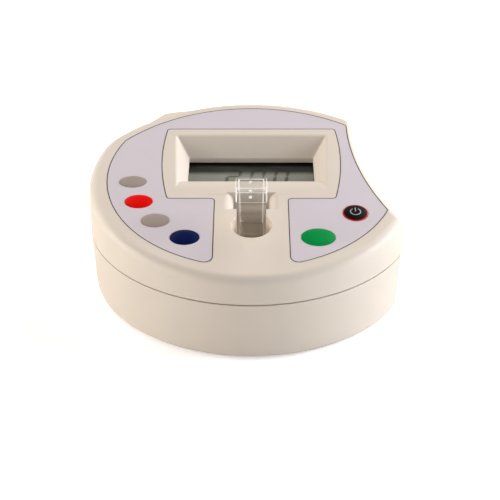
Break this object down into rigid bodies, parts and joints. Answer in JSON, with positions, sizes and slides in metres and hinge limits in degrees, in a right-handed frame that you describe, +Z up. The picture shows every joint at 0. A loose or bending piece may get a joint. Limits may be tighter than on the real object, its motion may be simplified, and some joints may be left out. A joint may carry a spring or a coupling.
{
  "type": "cell density meter",
  "caption": "Palm-sized bench meter for cell density, with a round scooped case, sloping keypad, recessed display, square cuvette in a well and a rear socket housing.",
  "frame": {"origin": "centre of the footprint on the bench, at the undersides of the feet", "axes": "+Z up, +Y to the back where the sockets are, +X to the right as the user sees the display"},
  "size_m": [0.1436, 0.1789, 0.0672],
  "materials": {
    "housing_plastic": "fine satin moulded",
    "overlay_film": "satin printed film",
    "key_grey": "satin moulded",
    "key_red": "satin moulded",
    "key_navy": "satin moulded",
    "key_green": "satin moulded",
    "key_black": "satin moulded",
    "clear_window": "polished",
    "display_glass": "polished",
    "black_plastic": "moulded",
    "circuit_board": "solder mask",
    "clear_cuvette": "polished",
    "steel": "plated",
    "lens_glass": "polished",
    "filter_glass": "polished",
    "lamp_resin": "polished",
    "cell_wrap": "shrink sleeve",
    "strap_metal": "satin",
    "socket_shell": "nickel plated",
    "foot_rubber": "matt"
  },
  "bodies": {
    "instrument": {"lower_shell": "housing_plastic", "upper_shell": "housing_plastic", "overlay_panel": "overlay_film", "key_switches": "black_plastic", "key_board_left": "circuit_board", "key_board_right": "circuit_board", "key_board_screws": "steel", "display_window": "clear_window", "lcd_glass": "display_glass", "lcd_frame": "black_plastic", "display_board": "circuit_board", "display_screws": "steel", "cell_holder": "black_plastic", "cell_spring": "steel", "condenser_lens": "lens_glass", "lamp": "lamp_resin", "lamp_board": "circuit_board", "optical_filter": "filter_glass", "detector": "steel", "detector_board": "circuit_board", "main_board": "circuit_board", "main_chips": "black_plastic", "main_board_screws": "steel", "holder_screws": "steel", "battery_cells": "cell_wrap", "battery_strap": "strap_metal", "strap_screws": "steel", "serial_port": "socket_shell", "port_screws": "steel", "power_socket": "black_plastic", "socket_board": "circuit_board", "socket_board_screws": "steel", "case_screws": "steel", "rubber_feet": "foot_rubber"},
    "recall_button": {"recall_key": "key_grey"},
    "reset_button": {"reset_key": "key_red"},
    "memory_button": {"memory_key": "key_grey"},
    "blank_button": {"blank_key": "key_navy"},
    "sample_button": {"sample_key": "key_green"},
    "power_button": {"power_key": "key_black"},
    "cuvette_body": {"cuvette": "clear_cuvette"}
  },
  "joints": [
    {"name": "recall_press", "type": "slide", "parent": "instrument", "child": "recall_button", "axis": [0, -0.1364, 0.9907], "range_m": [-0.0006, 0], "stiffness_N_per_m": 1200, "springref_m": 0.0005},
    {"name": "reset_press", "type": "slide", "parent": "instrument", "child": "reset_button", "axis": [0, -0.1364, 0.9907], "range_m": [-0.0006, 0], "stiffness_N_per_m": 1200, "springref_m": 0.0005},
    {"name": "memory_press", "type": "slide", "parent": "instrument", "child": "memory_button", "axis": [0, -0.1364, 0.9907], "range_m": [-0.0006, 0], "stiffness_N_per_m": 1200, "springref_m": 0.0005},
    {"name": "blank_press", "type": "slide", "parent": "instrument", "child": "blank_button", "axis": [0, -0.1364, 0.9907], "range_m": [-0.0006, 0], "stiffness_N_per_m": 1200, "springref_m": 0.0005},
    {"name": "sample_press", "type": "slide", "parent": "instrument", "child": "sample_button", "axis": [0, -0.1364, 0.9907], "range_m": [-0.0006, 0], "stiffness_N_per_m": 1200, "springref_m": 0.0005},
    {"name": "power_press", "type": "slide", "parent": "instrument", "child": "power_button", "axis": [0, -0.1364, 0.9907], "range_m": [-0.0006, 0], "stiffness_N_per_m": 1200, "springref_m": 0.0005},
    {"name": "cuvette_lift", "type": "slide", "parent": "instrument", "child": "cuvette_body", "axis": [0, 0, 1], "range_m": [0, 0.05]}
  ]
}
